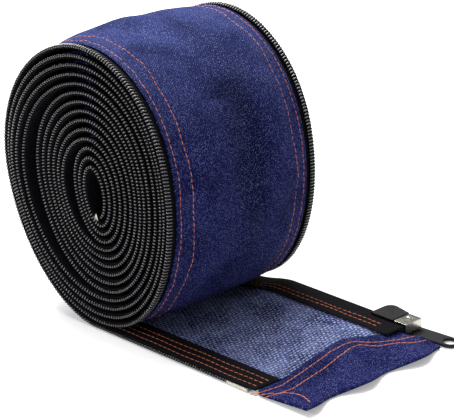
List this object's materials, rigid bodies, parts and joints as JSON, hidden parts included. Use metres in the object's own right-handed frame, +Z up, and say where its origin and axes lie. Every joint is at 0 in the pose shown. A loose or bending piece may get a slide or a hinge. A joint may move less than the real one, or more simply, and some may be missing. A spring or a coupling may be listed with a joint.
{
  "type": "zippered cable sleeve",
  "caption": "Denim cable sleeve with a zip along both edges, fully unzipped into one flat strip and rolled up, its hemmed tail lying on the floor with the slider at its end.",
  "frame": {"origin": "on the floor, in the middle of the roll's flat spot", "axes": "+X along the loose tail towards the hem, +Y along the roll's axis towards the edge that carries the slider, +Z up"},
  "size_m": [0.2223, 0.1209, 0.1544],
  "materials": {
    "denim": "indigo denim, darker twill face, pale speckled inner side",
    "tape": "black woven zip tape",
    "coil": "black nylon zip coil",
    "nickel": "bright nickel",
    "slider": "black enamelled die casting",
    "tab": "black moulded pull tab"
  },
  "bodies": {
    "sleeve": {"denim_panel": "denim", "near_zip_tape": "tape", "far_zip_tape": "tape", "near_zip_coil": "coil", "far_zip_coil": "coil", "insertion_pin": "nickel", "retainer_pin": "nickel", "retainer_box": "nickel", "near_top_stop": "nickel", "far_top_stop": "nickel"},
    "slider": {"slider_body": "slider"},
    "tab": {"pull_tab": "tab"}
  },
  "joints": [
    {"name": "slider_slide", "type": "slide", "parent": "sleeve", "child": "slider", "axis": [1, 0, 0], "range_m": [-0.057, 0]},
    {"name": "tab_hinge", "type": "hinge", "parent": "slider", "child": "tab", "pos_m": [0.10675, 0.05485, 0.00205], "axis": [-0.1392, 0.9903, 0], "range_deg": [0, 150]}
  ]
}
